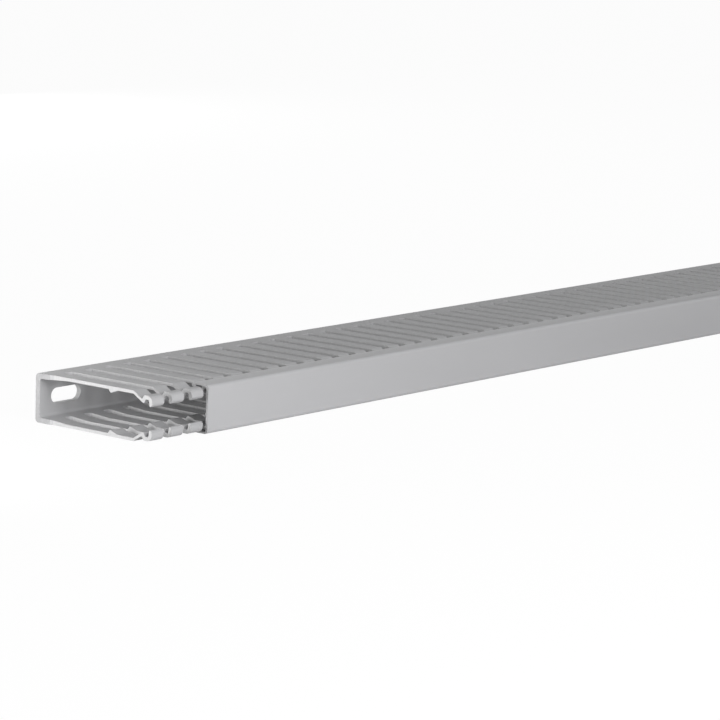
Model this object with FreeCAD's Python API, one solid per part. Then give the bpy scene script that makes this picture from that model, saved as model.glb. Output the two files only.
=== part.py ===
import FreeCAD, Part
import math, os
from FreeCAD import Vector

os.makedirs("parts", exist_ok=True)

# Slotted wire duct with its clip-on cover, lying on one of its slotted side walls.
# X runs along the duct, Y from the open mouth (-) to the solid base (+), Z up from the floor.
# All sizes are in millimetres. Both pieces are outlines in the Y-Z plane, extruded along X.

# Overall sizes
duct_length = 1000.0
duct_depth = 80.0            # base back face to cover front face
duct_height = 25.0           # outside of one slotted wall to outside of the other
cover_length = duct_length
cover_setback = 39.0         # the cover is slid this far back from the duct's near end
cover_inset = 0.2            # the cover lies this far inside each slotted wall's outer plane
running_gap = 0.3            # between cover and duct, all along the slide

# Base and the solid rims beside it
base_thickness = 2.8
base_corner_radius = 2.0
rim_thickness = 2.6
rim_depth = 8.0              # from the base's back face
rim_run_out = 14.0           # gentle slope from the rim down to the fingers' inner face
rim_fillet = 1.5

# Fingers and the slots between them
finger_thickness = 1.6
slot_pitch = 14.0
slot_width = 4.0
slot_root_depth = 10.0       # from the base's back face
slot_root_chamfer = 1.2

# Bead inside each finger that keeps the wires in; its peak is placed from the lip's front face
bead_to_lip = 27.8
bead_height = 1.7
bead_mouth_run = 4.8         # the gentle side, towards the mouth
bead_base_run = 1.3

# Finger head. The wall dips to a groove for the cover's hook, then rounds over into a curled lip.
# Distances "to lip" are measured back from the lip's front face.
groove_start_to_lip = 12.4
groove_floor_to_lip = 6.8
groove_depth = 3.5           # from the wall's outer plane
groove_wall = 2.1
groove_underside_to_lip = 5.6
crest_start_to_lip = 5.3
crest_radius = 3.0
crest_flats = 3              # the crest's quarter round is drawn with this many flats
crest_thickness = 2.0
curl_back_to_lip = 4.5       # the narrow gap inside the curl
curl_front_to_lip = 2.3
lip_face = 1.2               # flat front of the lip, below the crest's round
lip_taper = 1.9
lip_end_to_lip = 1.6

# Cover
cover_front_thickness = 1.3
cover_flange_thickness = 0.8
cover_corner_radius = 2.0
cover_edge_radius = 0.4
flange_edge_to_groove = 3.0  # the flange stops this far short of where the groove starts
hook_thickness = 1.1
hook_tip_to_floor = 0.3      # along Y

# Oblong screw slots in the base
mount_slot_length = 21.0
mount_slot_width = 7.8
mount_slot_first = 18.5      # centre of the first, from the near end
mount_slot_spacing = 100.0
mount_slot_end_margin = 25.0

# Places that follow from the sizes above
back_y = duct_depth / 2
front_y = -duct_depth / 2
mid_z = duct_height / 2
near_x = -(cover_length + cover_setback) / 2
far_x = near_x + duct_length
cover_x = near_x + cover_setback
base_inner_y = back_y - base_thickness
lip_front_y = front_y + cover_front_thickness + running_gap
groove_start_y = lip_front_y + groove_start_to_lip
groove_floor_y = lip_front_y + groove_floor_to_lip
crest_depth = cover_inset + cover_flange_thickness + running_gap
lip_turn_depth = crest_depth + crest_radius + lip_face
cut_margin = 5.0             # how far every cutter reaches past what it cuts


def wall_point(side, y, depth):
    """A point of a side wall's section: depth is measured inwards from the wall's outer plane."""
    return Vector(0, y, mid_z + side * (duct_height / 2 - depth))


def rounded_wire(corners):
    """A closed wire through the corners, each given as (point, radius), with tangent arcs."""
    edges = []
    starts, ends = [], []
    count = len(corners)
    for i, (corner, radius) in enumerate(corners):
        to_previous = (corners[i - 1][0] - corner).normalize()
        to_next = (corners[(i + 1) % count][0] - corner).normalize()
        half_angle = to_previous.getAngle(to_next) / 2
        reach = radius / math.tan(half_angle)
        start = corner + to_previous * reach
        end = corner + to_next * reach
        if radius > 0:
            inward = (to_previous + to_next).normalize()
            middle = corner + inward * (radius / math.sin(half_angle) - radius)
            edges.append(Part.Arc(start, middle, end).toShape())
        starts.append(start)
        ends.append(end)
    for i in range(count):
        edges.append(Part.LineSegment(ends[i], starts[(i + 1) % count]).toShape())
    return Part.Wire(Part.sortEdges(edges)[0])


def extruded(corners, start_x, length):
    """The outline as a solid bar that starts at start_x and runs along +X."""
    bar = Part.Face(rounded_wire(corners)).extrude(Vector(length, 0, 0))
    bar.translate(Vector(start_x, 0, 0))
    return bar


def both_sides(half_corners):
    """A whole outline from a function that gives one side's corners."""
    return half_corners(1) + list(reversed(half_corners(-1)))


def crest_round():
    """The finger head's rounded front corner, from the crest down to the lip's front face."""
    centre_y = lip_front_y + crest_radius
    centre_depth = crest_depth + crest_radius
    angles = [math.radians(90 * i / crest_flats) for i in range(crest_flats + 1)]
    return [(centre_y - crest_radius * math.sin(angle), centre_depth - crest_radius * math.cos(angle), 0)
            for angle in angles]


def side_wall_corners(side):
    """One slotted wall's section, from the base's outer corner round the finger head and back."""
    bead_y = lip_front_y + bead_to_lip
    rim_end_y = back_y - rim_depth
    section = [
        (back_y, 0, base_corner_radius),
        (groove_start_y, 0, 0),
        (groove_floor_y, groove_depth, 0),
        (lip_front_y + crest_start_to_lip, crest_depth, 0),
        *crest_round(),
        (lip_front_y, lip_turn_depth, 0),
        (lip_front_y + lip_end_to_lip, lip_turn_depth + lip_taper, 0),
        (lip_front_y + curl_front_to_lip, crest_depth + crest_thickness, 0),
        (lip_front_y + curl_back_to_lip, crest_depth + crest_thickness, 0),
        (lip_front_y + groove_underside_to_lip, groove_depth + groove_wall, 0),
        (groove_start_y, finger_thickness, 0),
        (bead_y - bead_mouth_run, finger_thickness, 0),
        (bead_y, finger_thickness + bead_height, 0),
        (bead_y + bead_base_run, finger_thickness, 0),
        (rim_end_y - rim_run_out, finger_thickness, 0),
        (rim_end_y, rim_thickness, 0),
        (base_inner_y, rim_thickness, rim_fillet),
    ]
    return [(wall_point(side, y, depth), radius) for y, depth, radius in section]


def finger_slot(x):
    """The cutter for one slot: open at the finger tips, narrowing at the root, through both walls."""
    half = slot_width / 2
    root_y = back_y - slot_root_depth
    mouth_y = front_y - cut_margin
    outline = [
        (x - half, mouth_y),
        (x + half, mouth_y),
        (x + half, root_y - slot_root_chamfer),
        (x + half - slot_root_chamfer, root_y),
        (x - half + slot_root_chamfer, root_y),
        (x - half, root_y - slot_root_chamfer),
    ]
    points = [Vector(px, py, -cut_margin) for px, py in outline]
    face = Part.Face(Part.makePolygon(points + points[:1]))
    return face.extrude(Vector(0, 0, duct_height + 2 * cut_margin))


def finger_slots():
    """All slots along the duct. The near end is cut where a finger begins."""
    first_x = near_x + slot_pitch - slot_width / 2
    count = math.floor((far_x - slot_width / 2 - first_x) / slot_pitch) + 1
    return [finger_slot(first_x + i * slot_pitch) for i in range(count)]


def mounting_slot(x):
    """The cutter for one oblong screw slot through the base."""
    radius = mount_slot_width / 2
    half_straight = mount_slot_length / 2 - radius
    depth = base_thickness + 2 * cut_margin
    start_y = base_inner_y - cut_margin
    straight = Part.makeBox(2 * half_straight, depth, mount_slot_width,
                            Vector(x - half_straight, start_y, mid_z - radius))
    ends = [Part.makeCylinder(radius, depth, Vector(x + sign * half_straight, start_y, mid_z),
                              Vector(0, 1, 0)) for sign in (-1, 1)]
    return straight.multiFuse(ends).removeSplitter()


def mounting_slots():
    """The row of screw slots along the middle of the base."""
    first_x = near_x + mount_slot_first
    last_x = far_x - mount_slot_end_margin
    count = math.floor((last_x - first_x) / mount_slot_spacing) + 1
    return [mounting_slot(first_x + i * mount_slot_spacing) for i in range(count)]


def make_slotted_duct():
    """The channel: one extrusion, with the finger slots and the screw slots punched out."""
    body = extruded(both_sides(side_wall_corners), near_x, duct_length)
    return body.cut(Part.makeCompound(finger_slots() + mounting_slots()))


def flange_corners(side):
    """One cover flange's section, from the front corner to the hook in the groove and back."""
    slope = groove_depth / (groove_start_y - groove_floor_y)
    stretch = math.sqrt(1 + slope ** 2)

    def sloping_depth(y, gap):
        """Depth at y of the line that runs parallel to the groove's slope, gap outside it."""
        return (groove_start_y - y) * slope - gap * stretch

    def sloping_y(depth, gap):
        """Where that line reaches a depth."""
        return groove_start_y - (depth + gap * stretch) / slope

    outer = cover_inset
    inner = cover_inset + cover_flange_thickness
    edge_y = groove_start_y - flange_edge_to_groove
    tip_y = groove_floor_y + hook_tip_to_floor
    tip_depth = sloping_depth(tip_y, running_gap)
    tip_rise = hook_thickness / stretch
    section = [
        (front_y, outer, cover_corner_radius),
        (edge_y, outer, cover_edge_radius),
        (edge_y, sloping_depth(edge_y, running_gap), 0),
        (tip_y, tip_depth, 0),
        (tip_y - slope * tip_rise, tip_depth - tip_rise, 0),
        (sloping_y(inner, running_gap + hook_thickness), inner, 0),
        (front_y + cover_front_thickness, inner, cover_corner_radius - cover_flange_thickness),
    ]
    return [(wall_point(side, y, depth), radius) for y, depth, radius in section]


def make_cover():
    """The lid: a flat front with two flanges, each hooked into the groove of the finger heads."""
    return extruded(both_sides(flange_corners), cover_x, cover_length)


pieces = {
    "slotted_duct": make_slotted_duct(),
    "cover": make_cover(),
}

for name, shape in pieces.items():
    solid = shape.Solids[0]
    print(name, "solids", len(shape.Solids), "valid", solid.isValid(), "volume", round(solid.Volume, 1))
    solid.exportStep("parts/" + name + ".step")
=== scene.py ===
import math
import bmesh
import bpy
from mathutils import Matrix, Vector


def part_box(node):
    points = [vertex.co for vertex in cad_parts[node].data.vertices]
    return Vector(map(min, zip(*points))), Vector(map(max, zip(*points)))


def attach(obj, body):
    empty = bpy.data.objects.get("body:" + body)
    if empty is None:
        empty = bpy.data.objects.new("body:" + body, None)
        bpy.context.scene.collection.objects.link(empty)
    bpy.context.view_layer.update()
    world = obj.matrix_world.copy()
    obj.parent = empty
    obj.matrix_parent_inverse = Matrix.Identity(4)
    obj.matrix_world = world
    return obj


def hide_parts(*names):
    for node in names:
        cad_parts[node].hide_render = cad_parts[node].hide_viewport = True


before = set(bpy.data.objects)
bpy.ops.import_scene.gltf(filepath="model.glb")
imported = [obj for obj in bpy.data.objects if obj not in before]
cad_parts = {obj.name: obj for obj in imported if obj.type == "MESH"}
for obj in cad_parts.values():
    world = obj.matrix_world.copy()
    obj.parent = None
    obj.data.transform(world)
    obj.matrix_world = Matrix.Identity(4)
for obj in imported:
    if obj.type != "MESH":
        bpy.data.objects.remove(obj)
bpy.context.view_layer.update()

# Slotted wire duct and its cover. X runs along the duct, Y from the mouth and cover to the base, Z up.
# Sizes of the pieces are in millimetres and become metres in each mesh.
MM = 0.001

# Places that the frame gives
duct_low, duct_high = [[c / MM for c in corner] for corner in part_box("slotted_duct")]
cover_low, cover_high = [[c / MM for c in corner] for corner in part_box("cover")]
near_x, far_x = duct_low[0], duct_high[0]
back_y, front_y = duct_high[1], cover_low[1]
lip_front_y = duct_low[1]
wall_low_z, wall_high_z = duct_low[2], duct_high[2]
mid_z = (wall_low_z + wall_high_z) / 2
half_height = (wall_high_z - wall_low_z) / 2

# Base and the solid rims beside it
base_thickness = 2.8
base_corner_radius = 2.0
rim_thickness = 2.6
rim_end_y = back_y - 8.0
rim_run_out = 14.0               # gentle slope from the rim down to the fingers' inner face
rim_slope_radius = 8.0
rim_edge_radius = 0.8
rim_fillet = 1.5

# Fingers and the slots between them
finger_thickness = 1.6
slot_pitch = 14.0
slot_width = 5.5                 # wider than in the solids, so each finger lies inside its solid one
first_finger_back = 0.75         # the near end is cut this far ahead of the first finger
shortest_finger = 0.5            # what is left of a finger at the far end is at least this long
slot_root_y = back_y - 10.0
slot_root_radius = 1.5
slot_root_steps = 5
slot_bend_y = slot_root_y - slot_root_radius     # a finger's side is straight up to here

# Bead inside each finger
bead_y = lip_front_y + 27.8
bead_height = 1.7
bead_mouth_run = 4.8             # the gentle side, towards the mouth
bead_base_run = 1.3
bead_mouth_radius = 2.0
bead_peak_radius = 0.5
bead_base_radius = 0.3

# Finger head: a sloping groove for the cover's hook, then a crest that rounds over into a curled lip.
# Depths are measured inwards from the wall's outer plane.
groove_start_y = lip_front_y + 12.4
groove_start_radius = 1.2
groove_floor_y = lip_front_y + 6.8
groove_floor_radius = 0.7
groove_depth = 3.5
groove_wall = 2.1
groove_underside_y = lip_front_y + 5.6
groove_underside_radius = 0.7
finger_bend_radius = 1.6         # inside the finger, where the groove starts
crest_start_y = lip_front_y + 5.3
crest_start_radius = 0.8
crest_depth = 1.3
crest_thickness = 2.0
crest_radius = 3.0
lip_drop = 4.2                   # from the crest to the lip's lower corner
lip_corner_radius = 0.6
lip_taper = 1.9
lip_end_y = lip_front_y + 1.6
lip_end_radius = 0.5
curl_front_y = lip_front_y + 2.3
curl_front_radius = 0.7
curl_back_y = lip_front_y + 4.5
curl_back_radius = 0.6

# Cover
running_gap = 0.3                # between cover and duct, all along the slide
cover_inset = 0.2                # the cover lies this far inside each wall's outer plane
front_thickness = 1.3
flange_thickness = 0.8
cover_corner_radius = 2.0
cover_inner_radius = cover_corner_radius - flange_thickness
flange_edge_y = groove_start_y - 3.0
flange_edge_radius = 0.35
flange_underside_radius = 0.2
hook_thickness = 1.1
hook_tip_to_floor = 0.3          # along Y
hook_tip_radius = 0.25
hook_bend_radius = 0.4
cover_lengths = 20               # stretches that the cover's mesh is divided into

# Screw slots in the base
screw_slot_length = 21.0
screw_slot_width = 7.8
screw_slot_first = 18.5          # centre of the first, from the near end
screw_slot_spacing = 100.0
screw_slot_count = 10
screw_slot_end_steps = 18
cutter_reach = 3.0               # how far a cutter stands out on both sides of the base

ARC_STEP = math.radians(11)      # longest turn between two points of a rounded corner
SHARP = math.radians(32)         # edges that turn more than this keep a hard shade line
TINY = 1e-4                      # millimetres, for comparing places

# Material slots of every piece
PLASTIC, PUNCHED, SAWN = range(3)


# Outlines

def rounded_outline(corners):
    """The (y, z) points of a closed outline whose corners are (y, z, radius)."""
    points = []
    for i, (y, z, radius) in enumerate(corners):
        corner = Vector((y, z))
        before = (Vector(corners[i - 1][:2]) - corner).normalized()
        after = (Vector(corners[(i + 1) % len(corners)][:2]) - corner).normalized()
        half_angle = before.angle(after) / 2
        centre = corner + (before + after).normalized() * (radius / math.sin(half_angle))
        reach = radius / math.tan(half_angle)
        start = corner + before * reach - centre
        end = corner + after * reach - centre
        turn = math.copysign(math.pi - 2 * half_angle, start.x * end.y - start.y * end.x)
        steps = max(2, math.ceil(abs(turn) / ARC_STEP))
        for step in range(steps + 1):
            angle = turn * step / steps
            cos, sin = math.cos(angle), math.sin(angle)
            arm = Vector((start.x * cos - start.y * sin, start.x * sin + start.y * cos))
            points.append(centre + arm)
    return points


def on_side(side, section):
    """Corners (y, depth, radius) of one slotted wall, upper (1) or lower (-1), as (y, z, radius)."""
    return [(y, mid_z + side * (half_height - depth), radius) for y, depth, radius in section]


def duct_half(side):
    """One slotted wall's corners, from the base's outer corner round the finger head and back."""
    lip_depth = crest_depth + lip_drop
    curl_depth = crest_depth + crest_thickness
    return on_side(side, [
        (back_y, 0, base_corner_radius),
        (groove_start_y, 0, groove_start_radius),
        (groove_floor_y, groove_depth, groove_floor_radius),
        (crest_start_y, crest_depth, crest_start_radius),
        (lip_front_y, crest_depth, crest_radius),
        (lip_front_y, lip_depth, lip_corner_radius),
        (lip_end_y, lip_depth + lip_taper, lip_end_radius),
        (curl_front_y, curl_depth, curl_front_radius),
        (curl_back_y, curl_depth, curl_back_radius),
        (groove_underside_y, groove_depth + groove_wall, groove_underside_radius),
        (groove_start_y, finger_thickness, finger_bend_radius),
        (bead_y - bead_mouth_run, finger_thickness, bead_mouth_radius),
        (bead_y, finger_thickness + bead_height, bead_peak_radius),
        (bead_y + bead_base_run, finger_thickness, bead_base_radius),
        (rim_end_y - rim_run_out, finger_thickness, rim_slope_radius),
        (rim_end_y, rim_thickness, rim_edge_radius),
        (back_y - base_thickness, rim_thickness, rim_fillet),
    ])


def cover_half(side):
    """One flange's corners, from the front corner to the hook in the groove and back."""
    slope = groove_depth / (groove_start_y - groove_floor_y)
    stretch = math.sqrt(1 + slope ** 2)

    def depth_over_groove(y):
        """Depth at y of the line that runs parallel to the groove's slope, clear of it."""
        return (groove_start_y - y) * slope - running_gap * stretch

    inner = cover_inset + flange_thickness
    tip_y = groove_floor_y + hook_tip_to_floor
    tip_depth = depth_over_groove(tip_y)
    tip_rise = hook_thickness / stretch
    bend_y = groove_start_y - (inner + (running_gap + hook_thickness) * stretch) / slope
    return on_side(side, [
        (front_y, cover_inset, cover_corner_radius),
        (flange_edge_y, cover_inset, flange_edge_radius),
        (flange_edge_y, depth_over_groove(flange_edge_y), flange_underside_radius),
        (tip_y, tip_depth, hook_tip_radius),
        (tip_y - slope * tip_rise, tip_depth - tip_rise, hook_tip_radius),
        (bend_y, inner, hook_bend_radius),
        (front_y + front_thickness, inner, cover_inner_radius),
    ])


def whole(half):
    """A whole outline from a function that gives one side's corners."""
    return rounded_outline(half(1) + half(-1)[::-1])


def duct_outline():
    """The duct's outline with points added where the slots' rounded roots cross each wall."""
    outline = whole(duct_half)
    turns = [math.pi / 2 * step / slot_root_steps for step in range(slot_root_steps + 1)]
    levels = [slot_bend_y + slot_root_radius * math.sin(turn) for turn in turns]
    points = []
    for i, point in enumerate(outline):
        points.append(point)
        following = outline[(i + 1) % len(outline)]
        low, high = sorted((point[0], following[0]))
        crossed = [y for y in levels if low < y < high]
        for y in sorted(crossed, reverse=following[0] < point[0]):
            points.append(point.lerp(following, (y - point[0]) / (following[0] - point[0])))
    return points


# Meshes. A face is its material slot and its corners. A ring is where the points of one outline lie
# among the mesh's points.

def placed(name, data):
    """A new object in the scene."""
    thing = bpy.data.objects.new(name, data)
    bpy.context.collection.objects.link(thing)
    return thing


def piece_from(name, points, faces):
    """A closed mesh object from points in millimetres and faces."""
    mesh = bpy.data.meshes.new(name)
    mesh.from_pydata([Vector(point) * MM for point in points], [], [corners for kind, corners in faces])
    mesh.polygons.foreach_set("material_index", [kind for kind, corners in faces])
    build = bmesh.new()
    build.from_mesh(mesh)
    bmesh.ops.recalc_face_normals(build, faces=build.faces)
    build.to_mesh(mesh)
    build.free()
    return placed(name, mesh)


def shade_by_angle(piece):
    """Shades a piece smooth, apart from its sharp edges."""
    piece.data.polygons.foreach_set("use_smooth", [True] * len(piece.data.polygons))
    piece.data.set_sharp_from_angle(angle=SHARP)


def add_ring(points, ring_points):
    """Adds an outline's points to the mesh's points and gives their places there."""
    start = len(points)
    points.extend(ring_points)
    return range(start, len(points))


def neighbours(count):
    """Each place on a ring of count points with the place that follows it."""
    return [(k, (k + 1) % count) for k in range(count)]


def band(first, second, pairs, kind):
    """Four-cornered faces from one ring to the next, over pairs of neighbouring places."""
    return [(kind, [first[k], first[j], second[j], second[k]]) for k, j in pairs]


# Duct

def root_spread(y):
    """How far a finger's side has curved into the slot at y."""
    into = min(max(y - slot_bend_y, 0.0), slot_root_radius)
    return slot_root_radius - math.sqrt(slot_root_radius ** 2 - into ** 2)


def finger_spans():
    """Where each finger starts and ends along the duct. The far end cuts the last one short."""
    spans = []
    x = near_x + first_finger_back
    while x < far_x - shortest_finger:
        spans.append((x, min(x + slot_pitch - slot_width, far_x)))
        x += slot_pitch
    return spans


def side_points(outline, x, way):
    """The outline's points where a finger starts (way -1) or ends (way 1), with its rounded root."""
    spread = [x + way * root_spread(y) for y, z in outline]
    return [(min(max(s, near_x), far_x), y, z) for s, (y, z) in zip(spread, outline)]


def finger_runs(in_spine):
    """For each wall, the outline's places on a finger, from the outer root round the head and back."""
    runs = []
    for k, following in neighbours(len(in_spine)):
        if in_spine[k] and not in_spine[following]:
            run = [k, following]
            while not in_spine[run[-1]]:
                run.append((run[-1] + 1) % len(in_spine))
            runs.append(run)
    return runs


def finger_side(outline, runs, ring, kind):
    """Closes a finger's side on both walls: a strip up the rounded root, then the flat rest."""
    faces = []
    for run in runs:
        head, tail = 0, len(run) - 1
        while outline[run[head + 1]][0] > slot_bend_y - TINY:
            faces.append((PLASTIC, [ring[run[k]] for k in (head, head + 1, tail - 1, tail)]))
            head, tail = head + 1, tail - 1
        faces.append((kind, [ring[k] for k in run[head:tail + 1]]))
    return faces


def make_duct():
    """The channel as one closed mesh: the fingers and the spine behind them share every edge."""
    outline = duct_outline()
    around = neighbours(len(outline))
    in_spine = [y > slot_root_y - TINY for y, z in outline]
    spine = [k for k, following in around if in_spine[k]]
    spine_pairs = [(k, following) for k, following in around if in_spine[k] and in_spine[following]]
    runs = finger_runs(in_spine)

    points, fingers = [], []
    for span in finger_spans():
        fingers.append([add_ring(points, side_points(outline, x, way)) for x, way in zip(span, (-1, 1))])

    faces = []
    for i, (left, right) in enumerate(fingers):
        last = i == len(fingers) - 1
        faces += band(left, right, around, PLASTIC)
        faces += finger_side(outline, runs, left, PUNCHED)
        faces += finger_side(outline, runs, right, SAWN if last else PUNCHED)
        if not last:
            across = fingers[i + 1][0]
            faces += band(right, across, spine_pairs, PLASTIC)
            for run in runs:
                outer, inner = run[0], run[-1]
                faces.append((PLASTIC, [right[outer], across[outer], across[inner], right[inner]]))
    for ring in (fingers[0][0], fingers[-1][1]):
        faces.append((SAWN, [ring[k] for k in spine]))
    return piece_from("duct_channel", points, faces)


def make_screw_slot_cutters():
    """Oblong bars through the base, one for each screw slot."""
    radius = screw_slot_width / 2
    half_straight = screw_slot_length / 2 - radius
    turns = [math.pi * (step / screw_slot_end_steps - 0.5) for step in range(screw_slot_end_steps + 1)]
    outline = [(half_straight + radius * math.cos(turn), radius * math.sin(turn)) for turn in turns]
    outline += [(-dx, -dz) for dx, dz in outline]
    points, faces = [], []
    for i in range(screw_slot_count):
        centre_x = near_x + screw_slot_first + i * screw_slot_spacing
        rings = []
        for y in (back_y - base_thickness - cutter_reach, back_y + cutter_reach):
            rings.append(add_ring(points, [(centre_x + dx, y, mid_z + dz) for dx, dz in outline]))
        faces += band(*rings, neighbours(len(outline)), PUNCHED)
        faces += [(PUNCHED, list(ring)) for ring in rings]
    return piece_from("screw_slot_cutters", points, faces)


def punch(piece, cutters):
    """Cuts the cutters out of the piece for good and deletes them."""
    cut = piece.modifiers.new("punch", "BOOLEAN")
    cut.operation = "DIFFERENCE"
    cut.solver = "EXACT"
    cut.object = cutters
    ready = piece.evaluated_get(bpy.context.evaluated_depsgraph_get())
    mesh = bpy.data.meshes.new_from_object(ready)
    piece.modifiers.clear()
    piece.data = mesh
    bpy.data.objects.remove(cutters)


# Cover

def make_cover():
    """The lid as one closed mesh: a flat front with two hooked flanges."""
    outline = whole(cover_half)
    start_x, length = cover_low[0], cover_high[0] - cover_low[0]
    points, rings, faces = [], [], []
    for i in range(cover_lengths + 1):
        x = start_x + length * i / cover_lengths
        rings.append(add_ring(points, [(x, y, z) for y, z in outline]))
    for here, there in zip(rings, rings[1:]):
        faces += band(here, there, neighbours(len(outline)), PLASTIC)
    for ring in (rings[0], rings[-1]):
        faces.append((SAWN, list(ring)))
    return piece_from("cover_strip", points, faces)


# Shader nodes

def feed(tree, value, socket):
    """Gives a socket a plain value or another node's output."""
    if isinstance(value, bpy.types.NodeSocket):
        tree.links.new(value, socket)
    else:
        socket.default_value = value


def calculated(tree, operation, first, second):
    """One step of arithmetic on numbers that may change over the surface."""
    node = tree.nodes.new("ShaderNodeMath")
    node.operation = operation
    feed(tree, first, node.inputs[0])
    feed(tree, second, node.inputs[1])
    return node.outputs[0]


def ranged(tree, value, low, high, to_low, to_high):
    """The value moved from the range low to high into another range, and held at its ends."""
    node = tree.nodes.new("ShaderNodeMapRange")
    feed(tree, value, node.inputs["Value"])
    feed(tree, low, node.inputs["From Min"])
    feed(tree, high, node.inputs["From Max"])
    feed(tree, to_low, node.inputs["To Min"])
    feed(tree, to_high, node.inputs["To Max"])
    return node.outputs["Result"]


def in_cells(tree, cells):
    """The piece's own coordinates times a number of cells per metre along each axis."""
    place = tree.nodes.new("ShaderNodeTexCoord")
    node = tree.nodes.new("ShaderNodeVectorMath")
    node.operation = "MULTIPLY"
    feed(tree, place.outputs["Object"], node.inputs[0])
    feed(tree, cells, node.inputs[1])
    return node.outputs["Vector"]


def noise(tree, cells, detail, roughness):
    """A cloudy pattern from 0 to 1."""
    node = tree.nodes.new("ShaderNodeTexNoise")
    feed(tree, in_cells(tree, cells), node.inputs["Vector"])
    node.inputs["Scale"].default_value = 1.0
    node.inputs["Detail"].default_value = detail
    node.inputs["Roughness"].default_value = roughness
    return node.outputs["Fac"]


def swing(tree, pattern, amount):
    """A factor that follows a noise pattern, up to the amount below and above 1."""
    darkest = calculated(tree, "SUBTRACT", 1.0, amount)
    lightest = calculated(tree, "ADD", 1.0, amount)
    return ranged(tree, pattern, *NOISE_SPAN, darkest, lightest)


def tinted(tree, colour, factor):
    """The colour made lighter or darker by a factor that changes over the surface."""
    node = tree.nodes.new("ShaderNodeVectorMath")
    node.operation = "SCALE"
    feed(tree, colour, node.inputs[0])
    feed(tree, factor, node.inputs["Scale"])
    return node.outputs["Vector"]


def bumped(tree, height, distance, strength):
    """The surface's normal, tilted by a height pattern."""
    node = tree.nodes.new("ShaderNodeBump")
    feed(tree, height, node.inputs["Height"])
    node.inputs["Distance"].default_value = distance
    node.inputs["Strength"].default_value = strength
    return node.outputs["Normal"]


def new_group(name, inputs, outputs):
    """A node group with named inputs (name, socket type, default) and outputs (name, socket type)."""
    group = bpy.data.node_groups.new(name, "ShaderNodeTree")
    for label, kind, value in inputs:
        socket = group.interface.new_socket(label, in_out="INPUT", socket_type=kind)
        socket.default_value = value
    for label, kind in outputs:
        group.interface.new_socket(label, in_out="OUTPUT", socket_type=kind)
    return group, group.nodes.new("NodeGroupInput"), group.nodes.new("NodeGroupOutput")


def place_group(tree, group, **values):
    """A node group in a material, with its own values."""
    node = tree.nodes.new("ShaderNodeGroup")
    node.node_tree = group
    for label, value in values.items():
        node.inputs[label.replace("_", " ")].default_value = value
    return node


# Marks on the plastic. Cells are counted per metre along X, Y and Z, and heights are in metres.

FINE_LINE_CELLS = (1.2, 900.0, 900.0)
BROAD_WAVE_CELLS = (0.8, 90.0, 90.0)
CLOUD_CELLS = (9.0, 28.0, 28.0)
RUB_CELLS = (60.0, 420.0, 420.0)
PUNCH_CELLS = (900.0, 900.0, 120.0)
SAW_CELLS = (900.0, 700.0, 260.0)
NOISE_SPAN = (0.3, 0.7)          # where nearly all of a noise pattern lies
RUB_SPAN = (0.62, 0.74)          # from no rub to a full one
LINE_TONE_SPAN = (0.1, 0.45)     # where nearly all of the die lines' tone lies
DIE_LINE_HEIGHT = 0.04 * MM
CUT_MARK_HEIGHT = 0.06 * MM
GLOSS_SWING = 0.05               # roughness above and below a skin's own


def build_die_lines():
    """Fine lines that the extrusion die leaves along the length, with broad soft waves across."""
    group, given, out = new_group(
        "die_lines",
        [("Line Depth", "NodeSocketFloat", 0.5)],
        [("Height", "NodeSocketFloat"), ("Tone", "NodeSocketFloat")])
    fine = noise(group, FINE_LINE_CELLS, detail=3.0, roughness=0.6)
    broad = noise(group, BROAD_WAVE_CELLS, detail=2.0, roughness=0.5)
    lines = calculated(group, "MULTIPLY", fine, given.outputs["Line Depth"])
    feed(group, calculated(group, "ADD", lines, broad), out.inputs["Height"])
    feed(group, calculated(group, "MULTIPLY", fine, broad), out.inputs["Tone"])
    return group


def build_plastic_tone():
    """The grey of the plastic with a faint cloudiness and handling marks."""
    group, given, out = new_group(
        "plastic_tone",
        [("Colour", "NodeSocketColor", (0.5, 0.5, 0.5, 1)),
         ("Cloudiness", "NodeSocketFloat", 0.03),
         ("Rubbed", "NodeSocketFloat", 0.05)],
        [("Colour", "NodeSocketColor")])
    cloud = noise(group, CLOUD_CELLS, detail=4.0, roughness=0.55)
    rubs = ranged(group, noise(group, RUB_CELLS, detail=5.0, roughness=0.7), *RUB_SPAN, 0.0, 1.0)
    lift = calculated(group, "MULTIPLY", rubs, given.outputs["Rubbed"])
    factor = calculated(group, "ADD", lift, swing(group, cloud, given.outputs["Cloudiness"]))
    feed(group, tinted(group, given.outputs["Colour"], factor), out.inputs["Colour"])
    return group


def build_cut_marks():
    """Streaks that a punch or a saw leaves on a cut face."""
    group, given, out = new_group(
        "cut_marks",
        [("Colour", "NodeSocketColor", (0.8, 0.8, 0.8, 1)),
         ("Cells", "NodeSocketVector", (900.0, 900.0, 900.0)),
         ("Contrast", "NodeSocketFloat", 0.05)],
        [("Colour", "NodeSocketColor"), ("Height", "NodeSocketFloat")])
    streak = noise(group, given.outputs["Cells"], detail=3.0, roughness=0.6)
    factor = swing(group, streak, given.outputs["Contrast"])
    feed(group, tinted(group, given.outputs["Colour"], factor), out.inputs["Colour"])
    feed(group, streak, out.inputs["Height"])
    return group


die_lines = build_die_lines()
plastic_tone = build_plastic_tone()
cut_marks = build_cut_marks()


# Materials

def new_material(name):
    """A material with its node tree and its surface shader."""
    material = bpy.data.materials.new(name)
    material.use_nodes = True
    return material, material.node_tree, material.node_tree.nodes["Principled BSDF"]


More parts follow.
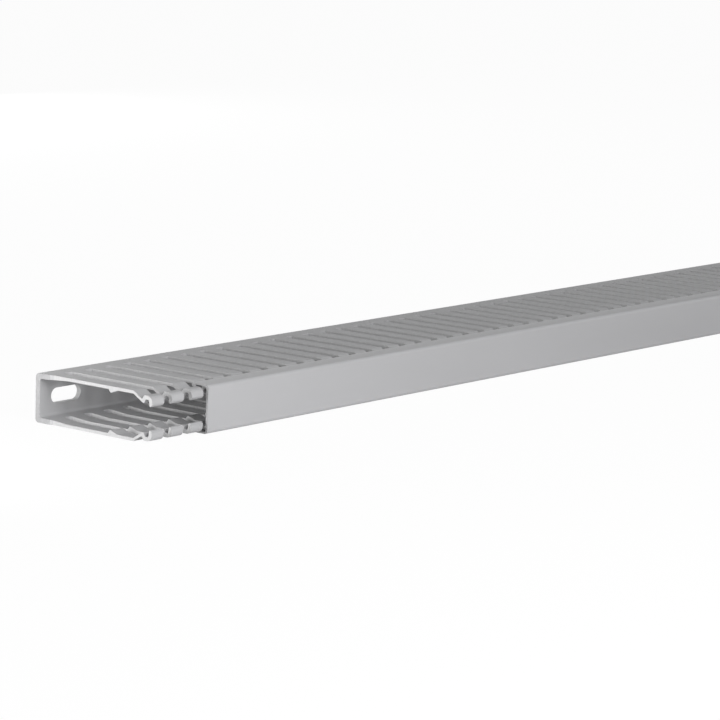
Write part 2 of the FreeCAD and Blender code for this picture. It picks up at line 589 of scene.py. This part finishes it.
def extruded_plastic(name, colour, roughness, cloudiness, rubbed):
    """Smooth rigid plastic as it leaves the die."""
    material, tree, shader = new_material(name)
    lines = place_group(tree, die_lines, Line_Depth=0.35)
    tone = place_group(tree, plastic_tone, Colour=(*colour, 1), Cloudiness=cloudiness, Rubbed=rubbed)
    smoothest, roughest = roughness - GLOSS_SWING, roughness + GLOSS_SWING
    gloss = ranged(tree, lines.outputs["Tone"], *LINE_TONE_SPAN, smoothest, roughest)
    normal = bumped(tree, lines.outputs["Height"], distance=DIE_LINE_HEIGHT, strength=0.5)
    feed(tree, tone.outputs["Colour"], shader.inputs["Base Color"])
    feed(tree, gloss, shader.inputs["Roughness"])
    feed(tree, normal, shader.inputs["Normal"])
    shader.inputs["Specular IOR Level"].default_value = 0.15
    return material


def cut_plastic(name, colour, roughness, cells, contrast):
    """A cut face: duller than the skin, and streaked across."""
    material, tree, shader = new_material(name)
    marks = place_group(tree, cut_marks, Colour=(*colour, 1), Cells=cells, Contrast=contrast)
    normal = bumped(tree, marks.outputs["Height"], distance=CUT_MARK_HEIGHT, strength=0.6)
    feed(tree, marks.outputs["Colour"], shader.inputs["Base Color"])
    feed(tree, normal, shader.inputs["Normal"])
    shader.inputs["Roughness"].default_value = roughness
    shader.inputs["Specular IOR Level"].default_value = 0.3
    return material


duct_skin = extruded_plastic("duct_grey_plastic", (0.41, 0.41, 0.418),
                             roughness=0.55, cloudiness=0.03, rubbed=0.05)
cover_skin = extruded_plastic("cover_grey_plastic", (0.43, 0.43, 0.44),
                              roughness=0.45, cloudiness=0.015, rubbed=0.03)
punched_face = cut_plastic("punched_slot_face", (0.49, 0.49, 0.492),
                           roughness=0.6, cells=PUNCH_CELLS, contrast=0.06)
sawn_face = cut_plastic("sawn_end_face", (0.37, 0.37, 0.375),
                        roughness=0.65, cells=SAW_CELLS, contrast=0.07)


def dress(piece, skin):
    """Gives a piece its skin, punched and sawn materials, in the order of its slots."""
    for material in (skin, punched_face, sawn_face):
        piece.data.materials.append(material)


# Pieces

duct = make_duct()
punch(duct, make_screw_slot_cutters())
dress(duct, duct_skin)
shade_by_angle(duct)
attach(duct, "duct")
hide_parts("slotted_duct")

cover = make_cover()
dress(cover, cover_skin)
shade_by_angle(cover)
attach(cover, "cover")
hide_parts("cover")


# Floor, light and camera. Their places and sizes are in metres.

FLOOR_REACH = 12.0
FLOOR_WHITENESS = 0.965          # share of plain white in the floor as it is seen
WORLD_STRENGTH = 0.16

# The camera's values were solved from the duct's edges and slots in the photo
CAMERA_AZIMUTH = math.radians(-50.966)
CAMERA_ELEVATION = math.radians(9.733)
CAMERA_ROLL = math.radians(1.714)
CAMERA_DISTANCE = 1.64577
CAMERA_TARGET = Vector((near_x * MM + 0.20562, 0, wall_low_z * MM + 0.0131))
FOCAL_LENGTH_PX = 3044.714
IMAGE_WIDTH_PX = 720
SENSOR_WIDTH = 36.0              # millimetres


def seen_rays(tree):
    """1 for rays of the camera, of reflections and through glass, and 0 for the rest."""
    path = tree.nodes.new("ShaderNodeLightPath")
    seen = calculated(tree, "MAXIMUM", path.outputs["Is Camera Ray"], path.outputs["Is Glossy Ray"])
    return calculated(tree, "MAXIMUM", seen, path.outputs["Is Transmission Ray"])


def make_floor():
    """A white floor that is seen nearly white and still takes a soft shadow."""
    square = ((-1, -1), (1, -1), (1, 1), (-1, 1))
    corners = [(x * FLOOR_REACH, y * FLOOR_REACH, 0) for x, y in square]
    mesh = bpy.data.meshes.new("studio_floor")
    mesh.from_pydata(corners, [], [(0, 1, 2, 3)])
    floor = placed("studio_floor", mesh)
    material, tree, shader = new_material("floor_white")
    shader.inputs["Base Color"].default_value = (0.92, 0.92, 0.92, 1)
    shader.inputs["Roughness"].default_value = 1.0
    shader.inputs["Specular IOR Level"].default_value = 0.0
    white = tree.nodes.new("ShaderNodeEmission")
    mix = tree.nodes.new("ShaderNodeMixShader")
    feed(tree, calculated(tree, "MULTIPLY", seen_rays(tree), FLOOR_WHITENESS), mix.inputs["Fac"])
    feed(tree, shader.outputs[0], mix.inputs[1])
    feed(tree, white.outputs[0], mix.inputs[2])
    feed(tree, mix.outputs[0], tree.nodes["Material Output"].inputs["Surface"])
    mesh.materials.append(material)


def light_world():
    """A world that is seen white and adds a low, even light."""
    world = bpy.data.worlds.new("studio_world")
    bpy.context.scene.world = world
    world.use_nodes = True
    tree = world.node_tree
    background = tree.nodes["Background"]
    background.inputs["Color"].default_value = (1, 1, 1, 1)
    strength = ranged(tree, seen_rays(tree), 0.0, 1.0, WORLD_STRENGTH, 1.0)
    feed(tree, strength, background.inputs["Strength"])


def soft_lamp(name, place, target, width, height, power):
    """A rectangular lamp that faces its target and isn't seen itself."""
    data = bpy.data.lights.new(name, "AREA")
    data.shape = "RECTANGLE"
    data.size = width
    data.size_y = height
    data.energy = power
    lamp = placed(name, data)
    lamp.visible_camera = False
    lamp.location = place
    lamp.rotation_euler = (Vector(target) - Vector(place)).to_track_quat("-Z", "Y").to_euler()


def light_duct():
    """A large key, a weak reflector close to the open end, and lamps for the far and back sides."""
    soft_lamp("key_softbox", place=(-0.78, -0.97, 0.45), target=(-0.48, 0, 0),
              width=0.8, height=0.6, power=11.3)
    soft_lamp("end_reflector", place=(-0.68, 0.022, 0.045), target=(-0.5, 0, 0.012),
              width=0.12, height=0.06, power=0.26)
    soft_lamp("far_softbox", place=(1.15, -0.35, 0.24), target=(0.45, 0, 0),
              width=0.5, height=0.4, power=3.6)
    soft_lamp("back_softbox", place=(0.1, 1.4, 0.16), target=(0.1, 0.04, 0.01),
              width=1.4, height=0.24, power=13.0)


def set_camera():
    """A long lens from beyond the open end, a little above the duct and rolled slightly."""
    flat = math.cos(CAMERA_ELEVATION)
    view = Vector((-math.sin(CAMERA_AZIMUTH) * flat, math.cos(CAMERA_AZIMUTH) * flat,
                   -math.sin(CAMERA_ELEVATION)))
    across = Vector((math.cos(CAMERA_AZIMUTH), math.sin(CAMERA_AZIMUTH), 0))
    upward = across.cross(view)
    right = across * math.cos(CAMERA_ROLL) + upward * math.sin(CAMERA_ROLL)
    up = upward * math.cos(CAMERA_ROLL) - across * math.sin(CAMERA_ROLL)
    data = bpy.data.cameras.new("camera")
    data.sensor_width = SENSOR_WIDTH
    data.lens = FOCAL_LENGTH_PX / IMAGE_WIDTH_PX * SENSOR_WIDTH
    data.clip_start = 0.05
    data.clip_end = 60
    camera = placed("camera", data)
    camera.matrix_world = Matrix((right, up, -view)).transposed().to_4x4()
    camera.location = CAMERA_TARGET - view * CAMERA_DISTANCE
    bpy.context.scene.camera = camera


make_floor()
light_world()
light_duct()
set_camera()
bpy.context.scene.view_settings.view_transform = "Standard"
